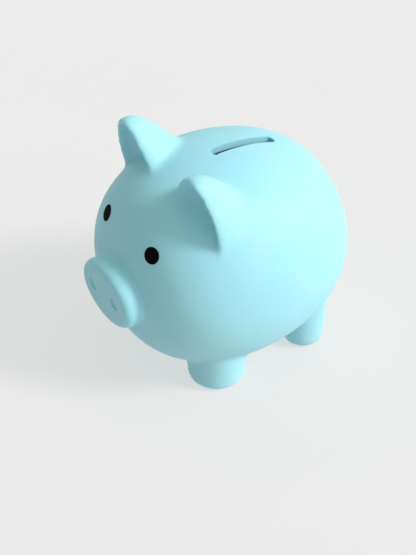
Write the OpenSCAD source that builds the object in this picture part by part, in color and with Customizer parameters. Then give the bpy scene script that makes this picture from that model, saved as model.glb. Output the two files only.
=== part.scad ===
// Coin bank in the shape of a standing pig.
// The shell is one rotationally moulded piece of soft vinyl: a round hollow body that carries
// the snout, two ears, four short hollow legs and a curled tail. A slot in the back takes the
// coins, and a soft plug in the belly lets them out. The eyes are two discs of printed ink.
// The pig faces -Y, its left side is +X, and it stands on z = 0.

/* [Body] */
// Largest radius of the round body, measured from its lengthwise axis
body_r = 51.8; // [38:0.1:70]
// Half of the body's length, without snout and tail
body_half = 55.2; // [40:0.1:75]
// Fullness of the outline: 1 is an ellipse, and less is a blunter barrel
fullness = 0.7; // [0.6:0.01:1]
// How much stouter the face end is than the rump
stoutness = 0.04; // [0:0.005:0.1]
// Thickness of the vinyl
wall = 3.5; // [2:0.1:3.5]
// Height of the belly above the floor
belly_gap = 3; // [2:0.1:10]

/* [Snout] */
// Width of the oval snout
snout_w = 38.2; // [26:0.1:48]
// Height of the oval snout
snout_h = 28.4; // [18:0.1:34]
// How far the snout's face stands in front of the body
snout_reach = 7.3; // [4:0.1:16]
// Height of the snout's centre below the body's axis
snout_drop = 3.5; // [0:0.1:12]
// Angle by which the snout's face looks down
snout_tilt = 4.5; // [0:0.5:15]
// Radius round the edge of the snout's face
snout_round = 2.6; // [1:0.1:4]
// Distance between the two nostrils' centres
nostril_gap = 17.6; // [10:0.1:22]
// Radius of each nostril, a shallow round dent
nostril_r = 3; // [1.5:0.1:4]
// Height of the nostrils above the middle of the snout's face
nostril_up = 1.5; // [-2:0.1:4]
// Depth of a nostril
nostril_depth = 0.8; // [0.3:0.1:1.2]

/* [Ears] */
// Height of an ear's tip above the line along its base
ear_h = 28; // [18:0.1:36]
// Lean of the ear towards the snout
ear_lean = 15; // [0:1:25]
// Angle from the top of the head out to the base's inner corner
ear_inner = 11; // [6:0.5:20]
// Angle from the top of the head out to the base's outer corner
ear_outer = 50; // [40:0.5:60]
// Distance of the ear's base in front of the body's middle, as a share of body_half
ear_forward = 0.525; // [0.35:0.005:0.6]
// How much further back the base's outer corner is than its inner one
ear_sweep = 4; // [0:0.5:8]
// Thickness of the ear from its face to the foot of its back
ear_depth = 24; // [14:0.1:30]
// Radius of the ear's rim
rim_r = 2.8; // [2:0.1:4]
// Depth of the hollow in the ear's face
ear_dish = 4; // [1:0.1:6]
// How far the ear's tip is set outwards, as a share of its height
ear_splay = 0.12; // [0:0.01:0.2]

/* [Eyes] */
// Diameter of a printed eye
eye_d = 7.6; // [4:0.1:12]
// Thickness of the ink
ink = 0.15; // [0.1:0.05:0.4]
// Distance of the eyes in front of the body's middle, as a share of body_half
eye_forward = 0.888; // [0.75:0.002:0.93]
// Angle from the top of the head out to an eye
eye_out = 36.5; // [25:0.5:55]

/* [Legs] */
// Distance from the middle plane to the centre of a front foot, as a share of body_r
front_foot_x = 0.434; // [0.35:0.002:0.5]
// Distance of the front feet in front of the body's middle, as a share of body_half
front_foot_y = 0.326; // [0.3:0.002:0.48]
// Radius of a front leg at the foot
front_foot_r = 13; // [9:0.1:14]
// Distance from the middle plane to the centre of a rear foot, as a share of body_r
rear_foot_x = 0.434; // [0.35:0.002:0.5]
// Distance of the rear feet behind the body's middle, as a share of body_half
rear_foot_y = 0.553; // [0.45:0.001:0.58]
// Radius of a rear leg at the foot
rear_foot_r = 9.6; // [8:0.1:13]
// Growth of a leg's radius for each millimetre of height
leg_taper = 0.07; // [0:0.01:0.12]
// Radius round the edge of the sole
sole_round = 4; // [1:0.1:5]

/* [Coin slot] */
// Length of the slot, along the back
slot_l = 33; // [26:0.1:40]
// Width of the slot
slot_w = 5; // [4.4:0.1:8]
// Distance of the slot's centre behind the body's middle, as a share of body_half
slot_back = 0.19; // [0:0.01:0.3]

/* [Belly plug] */
// Diameter of the coin outlet in the belly
outlet_d = 26; // [20:0.1:30]
// Distance of the outlet's centre behind the body's middle, as a share of body_half
outlet_back = 0.1; // [0.05:0.01:0.16]
// Depth of the flat seat in the belly, at the rear edge of the recess where it is shallowest
seat_sink = 0.3; // [0.1:0.1:2]
// Width of the plug's flange round the outlet
flange_lip = 2.6; // [1.5:0.1:4]
// Thickness of the plug's flange
flange_t = 2.2; // [1.5:0.1:2.4]
// Clearance round the plug's barrel in the outlet
barrel_gap = 0.05; // [0.02:0.01:0.1]
// Clearance round the flange in its recess
flange_gap = 0.6; // [0.3:0.1:1.5]
// Height of the retaining bead above the seat's collar
bead_h = 2.6; // [1.5:0.1:4]
// Thickness of the plug's barrel wall
barrel_wall = 2.4; // [1.5:0.1:3]
// Depth of the finger pockets in the plug
pocket_depth = 3; // [2:0.1:3.5]
// Width of the grip bar between the finger pockets
grip_w = 3.2; // [2:0.1:5]

/* [Tail] */
// Radius of the tail's curl
tail_curl = 4.6; // [3:0.1:7]
// Thickness of the tail
tail_t = 4.8; // [3:0.1:7]
// Height of the curl above the body's axis, as a share of body_r
tail_rise = 0.155; // [0.08:0.005:0.25]
// Turn of the curl
tail_turn = 290; // [200:5:320]

/* [Hidden] */
$fn = 64;
outline_steps = 44;                      // cones along the body's outline
arc_steps = 6;                           // cones round a small edge
overlap = 1;                             // depth by which one shape is sunk in another
least_edge = 0.4;                        // smallest rounding on the inside of the shell

vinyl = [0.62, 0.86, 0.90];
plug_white = [0.90, 0.91, 0.90];
ink_black = [0.04, 0.04, 0.05];

body_z = belly_gap + body_r;             // height of the body's axis
tip_half_h = snout_h / 2 - snout_round;  // the snout's flat face, from its centre upwards
nose_end = body_half + snout_reach + tip_half_h * sin(snout_tilt);
tail_end = body_half + tail_t / 2;
body_y = (nose_end - tail_end) / 2;      // puts the origin half way along the whole pig
leg_top = body_z - 0.45 * body_r;        // the legs end here, inside the body

outlet_r = outlet_d / 2;
flange_r = outlet_r + flange_lip;
recess_r = flange_r + flange_gap;
outlet_y = body_y + outlet_back * body_half;
recess_end = outlet_back + recess_r / body_half;
seat_z = body_z - body_radius(at_share(-recess_end)) + seat_sink;
collar_top = seat_z + wall;
barrel_r = outlet_r - barrel_gap;
barrel_top = collar_top + bead_h;

// Radius of the body where its outline parameter is t degrees, grown by g. Positive t is ahead.
function body_radius(t, g = 0) = (body_r + g) * pow(cos(t), fullness) * (1 + stoutness * sin(t));
function body_ahead(t, g = 0) = (body_half + g) * sin(t);
// The parameter of the outline at a share of the body's half length ahead of its middle.
function at_share(s) = asin(s);
// A point of the body's skin, at that share and a degrees out from the top.
function skin(s, a) =
    let (r = body_radius(at_share(s)))
    [r * sin(a), -s * body_half, r * cos(a)];
// Slope of the outline there, as the angle of its normal above the lengthwise axis.
function normal_angle(s) =
    let (t = at_share(s))
    atan2(body_ahead(t + 1) - body_ahead(t - 1), body_radius(t - 1) - body_radius(t + 1));

// Moves the children from the body's middle to where the body is.
module at_body() {
    translate([0, body_y, body_z]) children();
}

// One copy on the left and one on the right.
module both_sides() {
    children();
    mirror([1, 0, 0]) children();
}

// The body, grown by g, as a solid of revolution about its lengthwise axis. The steps are
// closer together at the two poles, where the outline turns fastest.
module round_body(g = 0) {
    outline = [for (i = [0:outline_steps])
        let (t = 90 * sin(180 * i / outline_steps - 90))
        [i == 0 || i == outline_steps ? 0 : body_radius(t, g), body_ahead(t, g)]];
    at_body()
        rotate([90, 0, 0])
            rotate_extrude() polygon(outline);
}

// One leg, grown by g: a cone with a rounded sole, standing on the floor and reaching up into
// the body.
module leg(x, y, r, g = 0) {
    edge = max(sole_round + g, least_edge);
    outline = concat(
        [[0, -g]],
        [for (i = [0:arc_steps])
            let (a = 90 * i / arc_steps)
            [r + g - edge + edge * sin(a), edge - g - edge * cos(a)]],
        [[r + g + leg_taper * leg_top, leg_top], [0, leg_top]]);
    translate([x, body_y + y, 0]) rotate_extrude() polygon(outline);
}

module legs(g = 0) {
    both_sides() {
        leg(front_foot_x * body_r, -front_foot_y * body_half, front_foot_r, g);
        leg(rear_foot_x * body_r, rear_foot_y * body_half, rear_foot_r, g);
    }
}

// The snout, grown by g: an oval stub with a rounded edge, tilted to look down.
module snout(g = 0) {
    half_w = snout_w / 2 + g;
    half_h = snout_h / 2 + g;
    edge = max(snout_round + g, least_edge);
    root = snout_reach + wall + overlap;
    outline = concat(
        [[0, -root], [half_w, -root]],
        [for (i = [0:arc_steps])
            let (a = 90 * i / arc_steps)
            [half_w - edge + edge * cos(a), edge * sin(a) - edge]],
        [[0, 0]]);
    translate([0, body_y - body_half - snout_reach - g, body_z - snout_drop])
        rotate([90 + snout_tilt, 0, 0])
            hull()
                scale([1, half_h / half_w, 1])
                    rotate_extrude($fn = 48) polygon(outline);
}

// The dents of the two nostrils, in the snout's face.
module nostrils() {
    translate([0, body_y - body_half - snout_reach, body_z - snout_drop])
        rotate([90 + snout_tilt, 0, 0])
            both_sides()
                translate([nostril_gap / 2, nostril_up, -nostril_depth])
                    cylinder(r = nostril_r, h = nostril_depth + overlap);
}

// One ear: a leaf-shaped fin with a thick back that runs down into the body, and a hollow face.
// A place on its face is given by its share of the half width, outwards, and of the height. The
// back's thickness comes from a large ball behind the face and a small one sunk in the body.
module ear() {
    turn = ear_sweep / 2 / body_half;
    inner = skin(ear_forward + turn, ear_inner);
    outer = skin(ear_forward - turn, ear_outer);
    middle = (inner + outer) / 2;
    half_w = norm(outer - inner) / 2;
    across = (outer - inner) / (2 * half_w);
    up = [ear_splay, -sin(ear_lean), cos(ear_lean)];
    facing = cross(across, up) / norm(cross(across, up));
    back_foot = skin(ear_forward - ear_depth / body_half, (ear_inner + ear_outer) / 2);
    back_height = 0.4 * ear_h;
    back_ball = 0.28 * ear_depth;
    foot_ball = 0.2 * ear_depth;
    foot_sink = 0.9;
    rim_spots = [[-1, 0], [-0.68, 0.5], [-0.1, 0.94], [0, 1], [0.2, 0.9], [0.84, 0.5], [1, 0]];
    dish_height = 0.28 * ear_h;
    dish_r = 0.8 * half_w;
    dish_ball = (dish_r * dish_r + ear_dish * ear_dish) / (2 * ear_dish);
    at_body()
        difference() {
            hull() {
                for (spot = rim_spots)
                    translate(middle + across * spot[0] * (half_w - rim_r)
                        + up * spot[1] * (ear_h - rim_r) - facing * rim_r)
                        sphere(rim_r, $fn = 20);
                translate(middle + up * back_height - facing * 0.4 * ear_depth)
                    sphere(back_ball, $fn = 28);
                translate(back_foot * foot_sink) sphere(foot_ball, $fn = 20);
            }
            translate(middle + up * dish_height + facing * (dish_ball - ear_dish))
                sphere(dish_ball);
        }
}

// The curled tail, half sunk into the rump. It starts below, on the pig's left.
module tail() {
    start = -60;
    at_body()
        translate([0, body_half, tail_rise * body_r])
            rotate([90, 0, 0]) {
                rotate([0, 0, start])
                    rotate_extrude(angle = tail_turn)
                        translate([tail_curl, 0]) circle(d = tail_t, $fn = 32);
                for (a = [start, start + tail_turn])
                    rotate([0, 0, a])
                        translate([tail_curl, 0, 0]) sphere(d = tail_t, $fn = 32);
            }
}

// The slot for the coins, cut down through the back.
module coin_slot() {
    translate([0, body_y + slot_back * body_half, body_z + body_r])
        cube([slot_w, slot_l, body_r], center = true);
}

// The vinyl shell: everything that comes out of the mould in one piece.
module body_shell() {
    color(vinyl)
    difference() {
        union() {
            difference() {
                union() {
                    round_body();
                    legs();
                    snout();
                    both_sides() ear();
                    tail();
                }
                round_body(-wall);
                legs(-wall);
                snout(-wall);
                coin_slot();
                nostrils();
            }
            // the thickened collar that carries the plug's seat
            translate([0, outlet_y, seat_z]) cylinder(r = recess_r + overlap, h = wall);
        }
        translate([0, outlet_y, 0]) cylinder(r = recess_r, h = seat_z);
        translate([0, outlet_y, 0]) cylinder(r = outlet_r, h = collar_top + wall);
    }
}

// The soft plug: a flange that seats in the belly's recess, and a hollow barrel whose bead
// holds behind the collar. Two finger pockets leave a bar to pinch and pull.
module belly_stopper() {
    flange_z = seat_z - flange_t;
    floor_z = flange_z + pocket_depth;
    floor_t = 2;
    edge = flange_t / 2;
    waist = 0.6;
    pocket_r = barrel_r - barrel_wall;
    color(plug_white)
    translate([0, outlet_y, 0])
        difference() {
            rotate_extrude() polygon(concat(
                [[0, flange_z]],
                [for (i = [0:arc_steps])
                    let (a = 90 * i / arc_steps)
                    [flange_r - edge + edge * sin(a), flange_z + edge - edge * cos(a)]],
                [[flange_r, seat_z],
                 [barrel_r, seat_z],
                 [barrel_r, collar_top],
                 [barrel_r - waist, collar_top + waist],
                 [barrel_r, collar_top + 2 * waist],
                 [barrel_r, barrel_top - waist],
                 [barrel_r - waist, barrel_top],
                 [0, barrel_top]]));
            // the barrel is open at the top, so that it can be squeezed through the outlet
            translate([0, 0, floor_z + floor_t]) cylinder(r = pocket_r, h = barrel_top);
            difference() {
                translate([0, 0, flange_z - 1]) cylinder(r = pocket_r, h = pocket_depth + 1);
                translate([0, 0, seat_z]) cube([grip_w, 2 * flange_r, 4 * wall], center = true);
            }
        }
}

// One printed eye: the disc of ink that lies on the skin of the body.
module eye() {
    spot = skin(eye_forward, eye_out);
    lift = normal_angle(eye_forward);
    difference() {
        intersection() {
            round_body(ink);
            at_body()
                translate(spot)
                    rotate([0, eye_out, 0])
                        rotate([90 - lift, 0, 0])
                            translate([0, 0, -wall]) cylinder(d = eye_d, h = 2 * wall);
        }
        round_body();
    }
}

module eye_left() {
    color(ink_black) eye();
}

module eye_right() {
    color(ink_black) mirror([1, 0, 0]) eye();
}

body_shell();
belly_stopper();
eye_left();
eye_right();
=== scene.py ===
# %% [markdown]
# # A vinyl piggy bank
# The real object is a small coin bank: a pig with a round, hollow body of soft, matt vinyl.
# It is cast in one piece in a rotating mould, so snout, ears, legs and tail all flow out of the
# body without a seam. A slot in the back takes the coins, a soft plug in the belly lets them
# out, and the two eyes are discs of printed ink.
#
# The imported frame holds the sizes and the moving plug. This script makes the surfaces that are
# seen. It works in the frame's own axes: the pig faces -Y, its left side is +X, +Z is up.

# %% Load the frame
import math

import bmesh
import bpy
from mathutils import Matrix, Vector


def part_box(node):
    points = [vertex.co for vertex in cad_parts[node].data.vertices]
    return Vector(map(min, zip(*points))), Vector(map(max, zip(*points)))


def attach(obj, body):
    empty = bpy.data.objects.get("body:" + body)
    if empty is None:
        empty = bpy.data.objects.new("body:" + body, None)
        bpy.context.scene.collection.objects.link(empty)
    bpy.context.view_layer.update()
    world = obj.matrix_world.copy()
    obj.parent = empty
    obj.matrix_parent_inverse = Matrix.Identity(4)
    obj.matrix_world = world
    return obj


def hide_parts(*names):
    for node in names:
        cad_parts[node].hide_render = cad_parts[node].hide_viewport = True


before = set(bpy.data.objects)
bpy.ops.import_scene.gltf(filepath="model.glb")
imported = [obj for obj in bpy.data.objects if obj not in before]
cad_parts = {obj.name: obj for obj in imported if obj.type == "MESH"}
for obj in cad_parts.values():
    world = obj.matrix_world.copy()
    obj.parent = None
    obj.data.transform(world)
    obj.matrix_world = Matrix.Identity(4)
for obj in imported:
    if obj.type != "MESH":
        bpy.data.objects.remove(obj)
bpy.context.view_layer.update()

# %% [markdown]
# Sizes are easier to read in millimetres, and Blender works in metres, so every size below is
# written as a number times MM. The body's radius, its half length and the gap under its belly
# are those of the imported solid. The plug's lowest and highest points are read from the frame.

# %% Sizes that everything else hangs on
MM = 0.001
plug_low, plug_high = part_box("belly_stopper")

BODY_R = 51.8 * MM
BODY_HALF = 55.2 * MM
BELLY_GAP = 3 * MM
SNOUT_OUT = 7.8 * MM
WALL = 3.5 * MM
BODY_Z = BELLY_GAP + BODY_R
BODY_Y = 2.9 * MM
MIDDLE = Vector((0, BODY_Y, BODY_Z))
print("body middle at", [round(v / MM, 2) for v in MIDDLE], "mm; plug", plug_low, plug_high)

# %% [markdown]
# ## Camera
# A long lens from a little under a metre away keeps the round body round. The camera looks
# down on the pig's left cheek. Its direction is set by two angles, and the aim point lies a
# little below and to the left of the pig's centre, which leaves room for the shadow.

# %% Camera
CAMERA_TURN = math.radians(56.2)
CAMERA_RISE = math.radians(38.15)
CAMERA_DISTANCE = 909 * MM
FOCUS = Vector((0, 0, 50 * MM))
AIM_LEFT = 3.97 * MM
AIM_DOWN = 11.67 * MM
LENS = 129.7
SEES_AS_FAR_AS = 20

towards_camera = Vector((
    math.sin(CAMERA_TURN) * math.cos(CAMERA_RISE),
    -math.cos(CAMERA_TURN) * math.cos(CAMERA_RISE),
    math.sin(CAMERA_RISE)))
camera_right = Vector((math.cos(CAMERA_TURN), math.sin(CAMERA_TURN), 0))
camera_up = towards_camera.cross(camera_right)
camera_place = FOCUS + towards_camera * CAMERA_DISTANCE
aim = FOCUS - camera_right * AIM_LEFT - camera_up * AIM_DOWN

bpy.ops.object.camera_add(location=camera_place)
camera = bpy.context.object
camera.name = "camera"
camera.rotation_euler = (aim - camera_place).to_track_quat("-Z", "Y").to_euler()
camera.data.lens = LENS
camera.data.clip_end = SEES_AS_FAR_AS
bpy.context.scene.camera = camera
print("camera at", [round(v, 3) for v in camera_place])

# %% [markdown]
# ## Working by hand, in code
# Every piece starts as a primitive and is shaped with the same operators that a modeller uses
# at the screen. An operator acts on whatever is selected, so each step first selects nothing,
# and then selects what it needs by its place.

# %% Helpers for adding, shaping and finishing
def deselect():
    """Nothing stays selected: an operator would act on it."""
    bpy.ops.object.select_all(action="DESELECT")


def add(operator, name, **settings):
    """A new primitive with nothing else selected."""
    deselect()
    operator(**settings)
    piece = bpy.context.object
    piece.name = name
    return piece


def only(piece):
    """Makes one piece selected and active."""
    deselect()
    piece.select_set(True)
    bpy.context.view_layer.objects.active = piece


def apply_modifier(piece, kind, **settings):
    """Adds a modifier and applies it."""
    only(piece)
    modifier = piece.modifiers.new(kind, kind)
    for setting, value in settings.items():
        setattr(modifier, setting, value)
    bpy.ops.object.modifier_apply(modifier=modifier.name)


def shape(piece):
    """Opens the piece in edit mode with all of it selected."""
    only(piece)
    bpy.ops.object.mode_set(mode="EDIT")
    bpy.ops.mesh.select_mode(type="VERT")
    bpy.ops.mesh.select_all(action="SELECT")


def done():
    bpy.ops.object.mode_set(mode="OBJECT")


def pick(piece, kind, test):
    """In edit mode, selects only the vertices, edges or faces that pass the test."""
    bpy.ops.mesh.select_mode(type={"verts": "VERT", "edges": "EDGE", "faces": "FACE"}[kind])
    bpy.ops.mesh.select_all(action="DESELECT")
    cage = bmesh.from_edit_mesh(piece.data)
    chosen = [part for part in getattr(cage, kind) if test(part)]
    for part in chosen:
        part.select_set(True)
    cage.select_flush_mode()
    bmesh.update_edit_mesh(piece.data)
    return len(chosen)


SAME_POINT = 0.01 * MM


def close_up(piece):
    """Merges doubles and turns every face outwards."""
    shape(piece)
    bpy.ops.mesh.remove_doubles(threshold=SAME_POINT)
    bpy.ops.mesh.normals_make_consistent(inside=False)
    done()


def cut(piece, cutter):
    """Takes the cutter's shape out of the piece, and throws the cutter away."""
    apply_modifier(piece, "BOOLEAN", operation="DIFFERENCE", object=cutter, solver="EXACT")
    bpy.data.objects.remove(cutter)


def settle(piece):
    """Puts the piece's place, turn and size into its mesh."""
    only(piece)
    bpy.ops.object.transform_apply(location=True, rotation=True, scale=True)

# %% [markdown]
# ## The round body
# The body is round about its lengthwise axis, like a turned bowl, so it is made like one: half
# of the outline is drawn point by point by extruding one vertex, and the outline is spun round
# the axis. The outline is a little blunter than an ellipse, and the face end is a little
# stouter than the rump.

# %% Spin the body
FULLNESS = 0.7
STOUTNESS = 0.04
OUTLINE_POINTS = 48
SPIN_STEPS = 96


def outline_point(share, shrink=0):
    """A point of the outline. The share runs from 0 at the rump to 1 at the face."""
    turn = math.pi / 2 * math.sin(math.pi * (share - 0.5))
    radius = (BODY_R - shrink) * math.cos(turn) ** FULLNESS * (1 + STOUTNESS * math.sin(turn))
    if share in (0, 1):
        radius = 0
    return Vector((0, -(BODY_HALF - shrink) * math.sin(turn), radius))


def spin_body(name, shrink=0):
    body = add(bpy.ops.mesh.primitive_plane_add, name, size=MM,
               location=MIDDLE + outline_point(0, shrink))
    settle(body)
    shape(body)
    bpy.ops.mesh.merge(type="CENTER")
    for i in range(OUTLINE_POINTS):
        step = (outline_point((i + 1) / OUTLINE_POINTS, shrink)
                - outline_point(i / OUTLINE_POINTS, shrink))
        bpy.ops.mesh.extrude_region_move(TRANSFORM_OT_translate={"value": step})
    bpy.ops.mesh.select_all(action="SELECT")
    bpy.ops.mesh.spin(steps=SPIN_STEPS, angle=math.tau, center=MIDDLE, axis=(0, 1, 0))
    done()
    close_up(body)
    return body


shell = spin_body("body_shell_skin")
print("body", len(shell.data.vertices), "vertices", [round(v / MM, 1) for v in shell.dimensions])

# %% [markdown]
# ## Lofts
# Snout, legs and ears all change their section along one line. Each one starts as a circle,
# which is extruded from section to section, and every new section is moved and scaled to its
# own size. That keeps the sections few and easy to correct.

# %% Draw a form from its sections
def loft(name, sections, sides=48, flat_front=False):
    """A closed form along Z. A section is (height, half width, half depth, shift along X,
    shift along Y). With a flat front, only the half behind the middle is round."""
    height, wide, deep, aside, back = sections[0]
    form = add(bpy.ops.mesh.primitive_circle_add, name, vertices=sides, radius=1,
               fill_type="NGON")
    shape(form)
    if flat_front:
        pick(form, "verts", lambda vertex: vertex.co.y < 0)
        bpy.ops.transform.resize(value=(1, 0, 1), center_override=(0, 0, 0))
        bpy.ops.mesh.select_all(action="SELECT")
    bpy.ops.transform.resize(value=(wide, deep, 1), center_override=(0, 0, 0))
    bpy.ops.transform.translate(value=(aside, back, height))
    middle = Vector((aside, back, height))
    for height, wide_next, deep_next, aside, back in sections[1:]:
        next_middle = Vector((aside, back, height))
        bpy.ops.mesh.extrude_region_move(
            TRANSFORM_OT_translate={"value": next_middle - middle})
        bpy.ops.transform.resize(value=(wide_next / wide, deep_next / deep, 1),
                                 center_override=next_middle)
        wide, deep, middle = wide_next, deep_next, next_middle
    done()
    return form


def round_section(height, radius, ratio=1):
    """A round section on the axis, or an oval one."""
    return height, radius, radius * ratio, 0, 0

# %% [markdown]
# ## Legs
# Each leg is a short hollow stump that narrows towards a flat sole with a rounded edge.

# %% Legs
def rounded_end(radius, rounding, steps=6):
    """Sections (height, radius) round the edge of a flat end, from the end inwards."""
    turns = [math.pi / 2 * i / steps for i in range(steps + 1)]
    return [(rounding * (1 - math.cos(turn)), radius - rounding * (1 - math.sin(turn)))
            for turn in turns]


FOOT_X = 22.5 * MM
FRONT_FOOT = Vector((FOOT_X, BODY_Y - 18 * MM, 0))
REAR_FOOT = Vector((FOOT_X, BODY_Y + 30.5 * MM, 0))
FRONT_FOOT_R = 13 * MM
REAR_FOOT_R = 9.6 * MM
SOLE_ROUND = 4 * MM
LEG_TOP = 31 * MM
LEG_TAPER = 0.07


def make_leg(name, place, radius, shrink=0):
    sections = [round_section(shrink + height, r)
                for height, r in rounded_end(radius - shrink, SOLE_ROUND - shrink / 2)]
    top = radius - shrink + LEG_TAPER * LEG_TOP
    leg = loft(name, sections + [round_section(LEG_TOP, top)])
    leg.location = place
    settle(leg)
    return leg


def mirrored(piece):
    """A copy of the piece on the pig's other side, with a mesh of its own."""
    only(piece)
    bpy.ops.object.duplicate()
    other = bpy.context.object
    shape(other)
    bpy.ops.transform.resize(value=(-1, 1, 1), center_override=(0, 0, 0))
    bpy.ops.mesh.normals_make_consistent(inside=False)
    done()
    return other


legs = [make_leg("front_leg", FRONT_FOOT, FRONT_FOOT_R), make_leg("rear_leg", REAR_FOOT, REAR_FOOT_R)]
legs += [mirrored(leg) for leg in legs]
print("legs", [[round(v / MM, 1) for v in leg.dimensions] for leg in legs[:2]])

# %% [markdown]
# ## Snout
# An oval stub with a flat face, which looks a few degrees down. Its rim is well rounded, and it
# is drawn in a little at the cheeks, so a soft crease runs round its root.

# %% Snout
SNOUT_HALF_W = 19.8 * MM
SNOUT_HALF_H = 15.3 * MM
SNOUT_ROUND = 3.9 * MM
SNOUT_WAIST = 2.6 * MM
SNOUT_ROOT = 6 * MM
SNOUT_DROP = 3.5 * MM
SNOUT_TILT = math.radians(4.5)
SNOUT_FACE = MIDDLE + Vector((0, -BODY_HALF - SNOUT_OUT, -SNOUT_DROP))


def make_snout(name, shrink=0):
    half_w = SNOUT_HALF_W - shrink
    ratio = (SNOUT_HALF_H - shrink) / half_w
    sections = [round_section(height, r, ratio)
                for height, r in rounded_end(half_w, SNOUT_ROUND - shrink / 2)]
    sections += [(SNOUT_OUT + SNOUT_ROOT, half_w - SNOUT_WAIST, half_w * ratio, 0, 0)]
    snout = loft(name, sections)
    snout.rotation_euler = (-math.pi / 2 + SNOUT_TILT, 0, 0)
    snout.location = SNOUT_FACE + Vector((0, shrink, 0))
    settle(snout)
    return snout


snout = make_snout("snout")
print("snout from y", round(min(v.co.y for v in snout.data.vertices) / MM, 1))

# %% [markdown]
# ## Ears
# An ear is a leaf that stands up on the head, thick at its foot: its back is a bulging hood
# that runs down into the body, and its face is hollow. Its outer edge is set back a little, so
# the leaf curls. The ear is lofted with a flat front, and then a thinner form with the same
# outline is taken out of it.

# %% Ears
EAR_INNER = Vector((9.0, -31.9, 45.1)) * MM
EAR_OUTER = Vector((36.9, -27.6, 30.5)) * MM
EAR_TIP = Vector((26.2, -37.2, 65.1)) * MM

across = (EAR_OUTER - EAR_INNER).normalized()
ear_foot = (EAR_INNER + EAR_OUTER) / 2
backwards = across.cross(EAR_INNER - EAR_TIP).normalized()
upwards = across.cross(backwards)
EAR_PLACE = Matrix.Translation(MIDDLE + ear_foot) @ Matrix(
    (across, backwards, upwards)).transposed().to_4x4()

EAR_SECTIONS = [
    (-12, 20.5, 29, 1.5, 0), (-4, 18.4, 26.5, 0.8, 0), (3, 16.6, 23, 0.6, 0.2),
    (9, 15.2, 19, -0.4, 0.6), (14.5, 13, 15.2, -1.8, 1.3), (19.5, 9.9, 11.4, -3.7, 1.6),
    (22.8, 6.8, 8.4, -5, 1.6), (24.7, 3.8, 5.6, -6, 1.6), (25.4, 1.6, 3, -6.6, 1.6)]
DISH_SECTIONS = [
    (-12, 18, 7, 1.5, 0), (-4, 15.9, 7, 0.8, 0), (3, 14.1, 7, 0.6, 0.2), (9, 12.7, 6.8, -0.4, 0.6),
    (14.5, 10.5, 6.2, -1.8, 1.3), (19, 7.4, 4.8, -3.6, 1.6), (21.8, 4.4, 3, -4.8, 1.6),
    (22.8, 1.8, 1.6, -5.4, 1.6)]


def in_mm(sections):
    return [tuple(v * MM for v in section) for section in sections]


ear = loft("ear", in_mm(EAR_SECTIONS), flat_front=True)
close_up(ear)
cut(ear, loft("ear_dish", in_mm(DISH_SECTIONS)))
ear.matrix_world = EAR_PLACE
settle(ear)
close_up(ear)
ears = [ear, mirrored(ear)]
print("ear", [round(v / MM, 1) for v in ear.dimensions], "across", [round(v, 3) for v in across])

# %% [markdown]
# ## Tail
# A small curl lies on the rump. A circle is spun through most of a turn, and its two ends are
# capped.

# %% Tail
TAIL_CURL = 4.6 * MM
TAIL_R = 2.4 * MM
TAIL_TURN = math.radians(290)
TAIL_START = math.radians(-60)
TAIL_RISE = 8 * MM
TAIL_MIDDLE = MIDDLE + Vector((0, BODY_HALF, TAIL_RISE))
tail_start = Matrix.Rotation(TAIL_START, 3, "Y") @ Vector((TAIL_CURL, 0, 0))
tail = add(bpy.ops.mesh.primitive_circle_add, "tail", vertices=24, radius=TAIL_R,
           location=TAIL_MIDDLE + tail_start, rotation=(0, TAIL_START, 0), fill_type="NGON")
settle(tail)
shape(tail)
bpy.ops.mesh.spin(steps=28, angle=TAIL_TURN, center=TAIL_MIDDLE, axis=(0, 1, 0))
done()
close_up(tail)
print("tail", [round(v / MM, 1) for v in tail.dimensions])

# %% [markdown]
# ## One skin
# Soft vinyl has no seams: every part flows into the next one with a small fillet. Joining the
# forms and remeshing them in small cubes gives one even skin. Smoothing it then rounds the
# hollow corners. The soles, the snout's edge and the ears keep their shape, because a vertex
# group holds the smoothing back there.

# %% Fuse the forms
SKIN_GRID = 0.9 * MM
deselect()
for part in legs + [snout, tail] + ears + [shell]:
    part.select_set(True)
bpy.context.view_layer.objects.active = shell
bpy.ops.object.join()
shell = bpy.context.object
apply_modifier(shell, "REMESH", mode="VOXEL", voxel_size=SKIN_GRID, adaptivity=0)
print("skin", len(shell.data.polygons), "faces")

# %% Round the hollow corners
to_ear = {side: (Matrix.Diagonal((side, 1, 1, 1)) @ EAR_PLACE).inverted() for side in (1, -1)}


def ramp(value, low, high):
    return min(1, max(0, (value - low) / (high - low)))


SNOUT_FIRMNESS = 0.95
FIRM_SOLE, SOFT_LEG = 4 * MM, 10 * MM
FIRM_FACE, SOFT_SIDE = 2 * MM, 6 * MM
SNOUT_EDGE, CHEEK_EDGE = 3 * MM, 12 * MM
SOFT_EAR, FIRM_EAR = 4 * MM, 14 * MM
RIM_FROM, RIM_TO = 2 * MM, 6 * MM


def softness(place):
    """How much a point of the skin may be smoothed, from 0 to 1."""
    above_ear_foot = to_ear[1 if place.x > 0 else -1] @ place
    from_snout = (place - SNOUT_FACE).length - SNOUT_HALF_W
    by_snout = 1 - ramp(from_snout, SNOUT_EDGE, CHEEK_EDGE)
    return (ramp(place.z, FIRM_SOLE, SOFT_LEG)
            * (1 - SNOUT_FIRMNESS * by_snout)
            * ramp(place.y - SNOUT_FACE.y, FIRM_FACE, SOFT_SIDE)
            * (1 - ramp(above_ear_foot.z, SOFT_EAR, FIRM_EAR)))


def rim_softness(place):
    """The same for the ears' rims, which are rounded but not melted away."""
    above_ear_foot = to_ear[1 if place.x > 0 else -1] @ place
    return ramp(above_ear_foot.z, RIM_FROM, RIM_TO)


def smooth(piece, rounds, amount=lambda place: 1):
    """Smooths each point of the piece as much as the amount at its place allows."""
    group = piece.vertex_groups.new(name="amount")
    for vertex in piece.data.vertices:
        group.add([vertex.index], amount(vertex.co), "REPLACE")
    apply_modifier(piece, "SMOOTH", factor=0.5, iterations=rounds, vertex_group="amount")
    piece.vertex_groups.clear()


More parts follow.
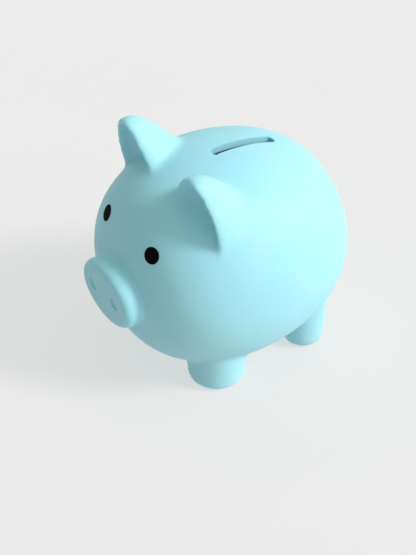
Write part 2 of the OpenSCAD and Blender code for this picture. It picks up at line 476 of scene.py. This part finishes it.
smooth(shell, 30, softness)
smooth(shell, 20, rim_softness)
smooth(shell, 5)
print("skin", [round(v / MM, 1) for v in shell.dimensions])

# %% [markdown]
# ## Hollow inside
# The wall of the body, legs and snout is 3.5 mm thick, so the inside has the same forms, only
# smaller. The ears and the tail are left solid. A thick collar is left round the outlet in the
# belly, because the plug seats there. The inside is hardly seen, so its skin is coarser.

# %% Hollow the shell
INSIDE_GRID = 2 * MM
OUTLET_R = 13 * MM
RECESS_R = 16.2 * MM
FLANGE_T = 2.2 * MM
BEAD_H = 2.6 * MM
OUTLET_Y = BODY_Y + 5.5 * MM
SEAT_Z = plug_high.z - BEAD_H - WALL
COLLAR_EDGE = 1 * MM


def cylinder(name, radius, low, high):
    """A round block over the outlet's centre."""
    return add(bpy.ops.mesh.primitive_cylinder_add, name, vertices=128, radius=radius,
               depth=high - low, location=(0, OUTLET_Y, (low + high) / 2))


hollow = spin_body("hollow", shrink=WALL)
hollow_legs = [make_leg("hollow_leg", FRONT_FOOT, FRONT_FOOT_R, WALL),
               make_leg("hollow_leg", REAR_FOOT, REAR_FOOT_R, WALL)]
hollow_legs += [mirrored(leg) for leg in hollow_legs]
deselect()
for part in hollow_legs + [make_snout("hollow_snout", WALL), hollow]:
    part.select_set(True)
bpy.context.view_layer.objects.active = hollow
bpy.ops.object.join()
hollow = bpy.context.object
apply_modifier(hollow, "REMESH", mode="VOXEL", voxel_size=INSIDE_GRID, adaptivity=0)
smooth(hollow, 4)
cut(hollow, cylinder("collar", RECESS_R + COLLAR_EDGE, 0, SEAT_Z + WALL))
cut(shell, hollow)
cut(shell, cylinder("recess", RECESS_R, -WALL, SEAT_Z))
cut(shell, cylinder("outlet", OUTLET_R, -WALL, SEAT_Z + 2 * WALL))
print("shell", len(shell.data.polygons), "faces; seat at", round(SEAT_Z / MM, 2), "mm")

# %% [markdown]
# ## Coin slot and nostrils
# The slot is cut straight down through the back after the skin is smooth, so that its walls
# stay flat. The skin round it is divided more finely first, and its lips are then eased a
# little, as a trimmed edge of soft vinyl is. The nostrils are two shallow round dents.

# %% Cut the slot
SLOT_W = 5 * MM
SLOT_L = 33 * MM
SLOT_BACK = 10.5 * MM
SLOT_CORNER = 1.6 * MM
SLOT_MARGIN = 2 * MM
SLOT_MIDDLE = MIDDLE + Vector((0, SLOT_BACK, BODY_R))


def divide(piece, cuts, test):
    """Divides the faces whose centres pass the test."""
    shape(piece)
    pick(piece, "faces", lambda face: test(face.calc_center_median()))
    bpy.ops.mesh.subdivide(number_cuts=cuts)
    done()


def by_slot(place, margin):
    """True within the margin of the slot's outline."""
    offset = place - SLOT_MIDDLE
    return (abs(offset.x) < SLOT_W / 2 + margin and abs(offset.y) < SLOT_L / 2 + margin
            and offset.z > -4 * WALL)


divide(shell, 1, lambda place: by_slot(place, SLOT_MARGIN))
slot_block = add(bpy.ops.mesh.primitive_cube_add, "slot_block", size=1, location=SLOT_MIDDLE)
slot_block.scale = (SLOT_W, SLOT_L, BODY_R)
settle(slot_block)
shape(slot_block)
pick(slot_block, "edges", lambda edge: abs(edge.verts[0].co.z - edge.verts[1].co.z) > MM)
bpy.ops.mesh.bevel(offset=SLOT_CORNER, segments=6)
done()
cut(shell, slot_block)
LIP = 0.5 * MM
LIP_FROM, LIP_TO = BODY_R * 0.955, BODY_R * 0.97
smooth(shell, 3, lambda place: by_slot(place, LIP) * ramp(
    (place - MIDDLE).xz.length, LIP_FROM, LIP_TO))
print("slot cut at y", round(SLOT_MIDDLE.y / MM, 1))

# %% Press in the nostrils
NOSTRIL_X = 8.8 * MM
NOSTRIL_UP = 1.2 * MM
NOSTRIL_R = 3 * MM
NOSTRIL_DEPTH = 0.8 * MM
DENT_BLOCK = 8 * MM
DIVIDED_MARGIN = 1 * MM
EASED_MARGIN = 0.6 * MM
snout_out = Vector((0, -math.cos(SNOUT_TILT), -math.sin(SNOUT_TILT)))
nostrils = [SNOUT_FACE + Vector((side * NOSTRIL_X, 0, NOSTRIL_UP)) for side in (1, -1)]
divide(shell, 2, lambda place: min(
    (place - nostril).length for nostril in nostrils) < NOSTRIL_R + DIVIDED_MARGIN)
for nostril in nostrils:
    dent = add(bpy.ops.mesh.primitive_cylinder_add, "dent", vertices=48, radius=NOSTRIL_R,
               depth=DENT_BLOCK,
               location=nostril + snout_out * (DENT_BLOCK / 2 - NOSTRIL_DEPTH))
    dent.rotation_euler = snout_out.to_track_quat("Z", "Y").to_euler()
    settle(dent)
    cut(shell, dent)
smooth(shell, 3, lambda place: min(
    (place - nostril).length for nostril in nostrils) < NOSTRIL_R + EASED_MARGIN)
print("nostrils at x", round(NOSTRIL_X / MM, 1))

# %% [markdown]
# ## Belly plug
# The plug is moulded from softer, milky plastic. Its flange seats in the recess, and its hollow
# barrel has a bead at the top that snaps behind the collar. Two finger pockets leave a bar to
# pull on. It is lofted like the legs, bored out, and its edges are bevelled.

# %% Mould the plug
FLANGE_R = 15.6 * MM
BARREL_R = 12.95 * MM
BARREL_WALL = 2.4 * MM
POCKET_DEPTH = 3 * MM
POCKET_FLOOR = 2 * MM
GRIP_W = 3.2 * MM
BEAD_WAIST = 0.6 * MM
SHARP_STEP = 0.01 * MM
PLUG_EDGE = 0.35 * MM
flange_z = plug_low.z
collar_top = SEAT_Z + WALL
plug_sections = [(flange_z + height, r) for height, r in rounded_end(FLANGE_R, FLANGE_T / 2)]
plug_sections += [
    (SEAT_Z, FLANGE_R), (SEAT_Z + SHARP_STEP, BARREL_R), (collar_top, BARREL_R),
    (collar_top + BEAD_WAIST, BARREL_R - BEAD_WAIST), (collar_top + 2 * BEAD_WAIST, BARREL_R),
    (plug_high.z - BEAD_WAIST, BARREL_R), (plug_high.z, BARREL_R - BEAD_WAIST)]
plug = loft("soft_plug", [round_section(*section) for section in plug_sections], sides=96)
plug.location = (0, OUTLET_Y, 0)
settle(plug)
shape(plug)
pick(plug, "edges", lambda edge: edge.is_boundary)
bpy.ops.mesh.edge_face_add()
done()
close_up(plug)
pocket_top = flange_z + POCKET_DEPTH
cut(plug, cylinder("bore", BARREL_R - BARREL_WALL, pocket_top + POCKET_FLOOR, 3 * SEAT_Z))
pockets = cylinder("pockets", BARREL_R - BARREL_WALL, -WALL, pocket_top)
grip = add(bpy.ops.mesh.primitive_cube_add, "grip", size=1, location=(0, OUTLET_Y, SEAT_Z))
grip.scale = (GRIP_W, 4 * OUTLET_R, 4 * SEAT_Z)
settle(grip)
cut(pockets, grip)
cut(plug, pockets)
apply_modifier(plug, "BEVEL", width=PLUG_EDGE, segments=3, limit_method="ANGLE",
            angle_limit=math.radians(40))
print("plug", [round(v / MM, 1) for v in plug.dimensions], "from z", round(plug_low.z / MM, 2))

# %% [markdown]
# ## Eyes
# The eyes are ink, printed straight on the vinyl. A disc of a few rings is held in front of
# each eye's place, projected on the skin, and given the thickness of the ink.

# %% Print the eyes
EYE_R = 3.8 * MM
INK = 0.15 * MM
EYE_RINGS = 5
HELD_OFF = 6 * MM
EYE_SPOT = Vector((18.5, -49.1, 25.2)) * MM


def print_eye(name, side):
    spot = EYE_SPOT * Vector((side, 1, 1))
    outward = Vector((spot.x, spot.y * (BODY_R / BODY_HALF) ** 2, spot.z)).normalized()
    eye = add(bpy.ops.mesh.primitive_circle_add, name, vertices=64, radius=EYE_R)
    shape(eye)
    for ring in range(EYE_RINGS, 1, -1):
        bpy.ops.mesh.extrude_region_move()
        bpy.ops.transform.resize(value=[(ring - 1) / ring] * 3, center_override=(0, 0, 0))
    bpy.ops.mesh.edge_face_add()
    bpy.ops.mesh.select_all(action="SELECT")
    bpy.ops.mesh.normals_make_consistent(inside=False)
    done()
    eye.location = MIDDLE + spot + outward * HELD_OFF
    eye.rotation_euler = outward.to_track_quat("Z", "Y").to_euler()
    apply_modifier(eye, "SHRINKWRAP", target=shell, wrap_method="PROJECT", use_project_z=True,
                use_negative_direction=True, use_positive_direction=False)
    settle(eye)
    apply_modifier(eye, "SOLIDIFY", thickness=2 * INK, offset=0)
    close_up(eye)
    return eye


eyes = {"eye_left": print_eye("printed_eye_left", 1), "eye_right": print_eye("printed_eye_right", -1)}
print("eyes", {name: [round(v / MM, 2) for v in eye.dimensions] for name, eye in eyes.items()})

# %% [markdown]
# ## Floor
# A pale, plain studio floor with no edge in sight. It belongs to the stage, not to the bank.

# %% Floor
floor = add(bpy.ops.mesh.primitive_plane_add, "floor", size=12)
print("floor", [round(v) for v in floor.dimensions.xy], "m")

# %% [markdown]
# ## Nodes
# Light and finishes are drawn with shader nodes. One small function adds a node, and another
# turns the usual web colours into the linear ones that shaders work in.

# %% Helpers for nodes and colours
def add_node(tree, kind, settings=None, values=None, links=None):
    """Adds a node with its settings, its socket values and its links from other nodes."""
    new = tree.nodes.new(kind)
    for setting, value in (settings or {}).items():
        setattr(new, setting, value)
    for socket, value in (values or {}).items():
        new.inputs[socket].default_value = value
    for socket, source in (links or {}).items():
        tree.links.new(source, new.inputs[socket])
    return new


def linear(hex_colour):
    """An sRGB hex colour as the linear colour that shaders take."""
    parts = [int(hex_colour[i:i + 2], 16) / 255 for i in (1, 3, 5)]
    return [p / 12.92 if p <= 0.04045 else ((p + 0.055) / 1.055) ** 2.4 for p in parts] + [1]

# %% [markdown]
# ## Light
# One large lamp stands up to the right of the camera, level with the pig's back, so the ears
# throw soft-edged shadows down across the face. Everything else is soft light from all round,
# brighter behind the pig than in front of it. The floor shows the pig's shadow, but doesn't
# throw light of its own on the belly, because the soft light from all round includes that.
# The soft light is faintly cyan, which deepens the colour of the vinyl in the shade.

# %% Lights
KEY_DIRECTION = Vector((0.60, 0.51, 0.61))
KEY_STRENGTH = 2.15
KEY_SPREAD = math.radians(18)
deselect()
bpy.ops.object.light_add(type="SUN", location=KEY_DIRECTION)
key = bpy.context.object
key.name = "key_light"
key.rotation_euler = KEY_DIRECTION.to_track_quat("Z", "Y").to_euler()
key.data.energy = KEY_STRENGTH
key.data.angle = KEY_SPREAD
floor.visible_diffuse = False

BRIGHT_SIDE = Vector((0.3, 0.92, -0.25))
DARK_SIDE_LIGHT = 0.38
BRIGHT_SIDE_LIGHT = 1.04
AMBIENT_TINT = (0.87, 1.02, 0.98, 1)
world = bpy.data.worlds.new("studio")
bpy.context.scene.world = world
world.use_nodes = True
sky = world.node_tree
direction = add_node(sky, "ShaderNodeTexCoord")
brightness = add_node(sky, "ShaderNodeVectorMath", {"operation": "DOT_PRODUCT"},
                      {1: BRIGHT_SIDE}, {0: direction.outputs["Generated"]})
strength = add_node(
    sky, "ShaderNodeMapRange", None,
    {"From Min": -1, "From Max": 1, "To Min": DARK_SIDE_LIGHT, "To Max": BRIGHT_SIDE_LIGHT},
    {"Value": brightness.outputs["Value"]})
sky.links.new(strength.outputs["Result"], sky.nodes["Background"].inputs["Strength"])
sky.nodes["Background"].inputs["Color"].default_value = AMBIENT_TINT
bpy.context.scene.view_settings.view_transform = "Standard"
print("key light from", [round(v, 2) for v in KEY_DIRECTION.normalized()])

# %% [markdown]
# ## Finishes
# No cast or moulded surface has quite one colour and one gloss. Each finish below starts from
# its real material: two near colours drift into each other over some millimetres, the gloss
# drifts with them, and a fine grain lifts the surface by hundredths of a millimetre. The
# patterns are three-dimensional and are laid out in the pieces' own coordinates, so they need
# no unwrapping and have no seam. The grain of such surfaces is usually a few tenths of a
# millimetre across, too fine to show, so it is drawn about 1 mm across, and coarser on the floor.

# %% A base for every finish
def finish(name, colours, drift, gloss, grain, relief):
    """A material whose colour and roughness drift over the drift's size, and whose grain of
    the given size stands up by the relief. Returns the material and its shader."""
    material = bpy.data.materials.new(name)
    material.use_nodes = True
    tree = material.node_tree
    shader = tree.nodes["Principled BSDF"]
    place = add_node(tree, "ShaderNodeTexCoord").outputs["Object"]
    clouds = add_node(tree, "ShaderNodeTexNoise", None,
                      {"Scale": 1 / drift, "Detail": 3, "Roughness": 0.5}, {"Vector": place})
    colour = add_node(tree, "ShaderNodeMix", {"data_type": "RGBA"},
                      {"A": linear(colours[0]), "B": linear(colours[1])},
                      {"Factor": clouds.outputs["Fac"]})
    roughness = add_node(tree, "ShaderNodeMapRange", None,
                         {"To Min": gloss[0], "To Max": gloss[1]},
                         {"Value": clouds.outputs["Fac"]})
    grains = add_node(tree, "ShaderNodeTexNoise", None,
                      {"Scale": 1 / grain, "Detail": 2, "Roughness": 0.6}, {"Vector": place})
    bump = add_node(tree, "ShaderNodeBump", None, {"Strength": 1, "Distance": relief},
                    {"Height": grains.outputs["Fac"]})
    tree.links.new(colour.outputs["Result"], shader.inputs["Base Color"])
    tree.links.new(roughness.outputs["Result"], shader.inputs["Roughness"])
    tree.links.new(bump.outputs["Normal"], shader.inputs["Normal"])
    return material, shader


def paint(piece, material):
    """Gives the whole piece one material."""
    piece.data.materials.clear()
    piece.data.materials.append(material)

# %% Soft vinyl of the pig
# Plasticised PVC, cast in a mould with a blasted, matt inside. The eye sees an even, powdery
# blue with broad soft highlights, faint clouds in the pigment, and light that creeps a few
# millimetres under the skin, so that shadow edges and thin rims look soft.
vinyl, vinyl_shader = finish("rotocast_vinyl_matt", ("#A4DBE8", "#ACE0EE"), 14 * MM,
                             (0.5, 0.62), 1.1 * MM, 0.012 * MM)
vinyl_shader.inputs["IOR"].default_value = 1.53
vinyl_shader.inputs["Subsurface Weight"].default_value = 0.4
vinyl_shader.inputs["Subsurface Radius"].default_value = (0.25, 1.0, 1.0)
vinyl_shader.inputs["Subsurface Scale"].default_value = 3 * MM
print(vinyl.name)

# %% Printed ink of the eyes
# Black ink, laid on with a soft pad in one thin coat. It is a dead, even black with almost no
# highlight, and it shows the vinyl's grain through its thickness.
ink, ink_shader = finish("pad_printed_ink", ("#020203", "#050506"), 2 * MM,
                         (0.7, 0.85), 1.1 * MM, 0.008 * MM)
ink_shader.inputs["Specular IOR Level"].default_value = 0.05
print(ink.name)

# %% Milky plastic of the plug
# Low-density polyethylene, injection moulded in a polished steel mould. It is milky rather
# than white, waxy to the eye, and a little glossier than the vinyl.
milky, milky_shader = finish("moulded_polyethylene", ("#DFE6E4", "#E9EDEB"), 9 * MM,
                             (0.36, 0.46), 0.9 * MM, 0.006 * MM)
milky_shader.inputs["IOR"].default_value = 1.51
milky_shader.inputs["Subsurface Weight"].default_value = 0.3
milky_shader.inputs["Subsurface Radius"].default_value = (1.0, 1.0, 1.0)
milky_shader.inputs["Subsurface Scale"].default_value = 2 * MM
print(milky.name)

# %% Painted studio floor, glowing with painted bounce light
# Matt emulsion paint, rolled on a smooth board. On top of the paint it has a glow of its own, painted
# light that stands for the light a studio bounces under the pig from all over the room, so the shadow
# stays pale.
floor_paint_and_glow, floor_shader = finish("rolled_floor_paint", ("#85807F", "#898483"), 80 * MM,
                                   (0.85, 0.95), 4 * MM, 0.01 * MM)
# The white emission is painted light: an even glow over the floor that keeps the pig's cast shadow
# pale.
floor_shader.inputs["Emission Color"].default_value = (1, 1, 1, 1)
floor_shader.inputs["Emission Strength"].default_value = 0.58
paint(floor, floor_paint_and_glow)
print(floor_paint_and_glow.name)

# %% [markdown]
# ## Hand over
# Each piece takes the place of its plain solid in the frame, rides on the same body, and gets
# its finish. The plain solids wear the same finish, in case a view shows them.

# %% Finish
def hand_over(piece, body, node, material):
    """The piece stands for a node of the frame, moves with its body and wears its finish."""
    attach(piece, body)
    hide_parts(node)
    paint(piece, material)
    paint(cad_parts[node], material)
    only(piece)
    bpy.ops.object.shade_smooth_by_angle(angle=math.radians(40))


hand_over(shell, "bank", "body_shell", vinyl)
hand_over(plug, "plug", "belly_stopper", milky)
for name, eye in eyes.items():
    hand_over(eye, "bank", name, ink)

for piece in [shell, plug, *eyes.values()]:
    triangles = sum(len(face.vertices) - 2 for face in piece.data.polygons)
    print(piece.name, triangles, "triangles", piece.data.materials[0].name)
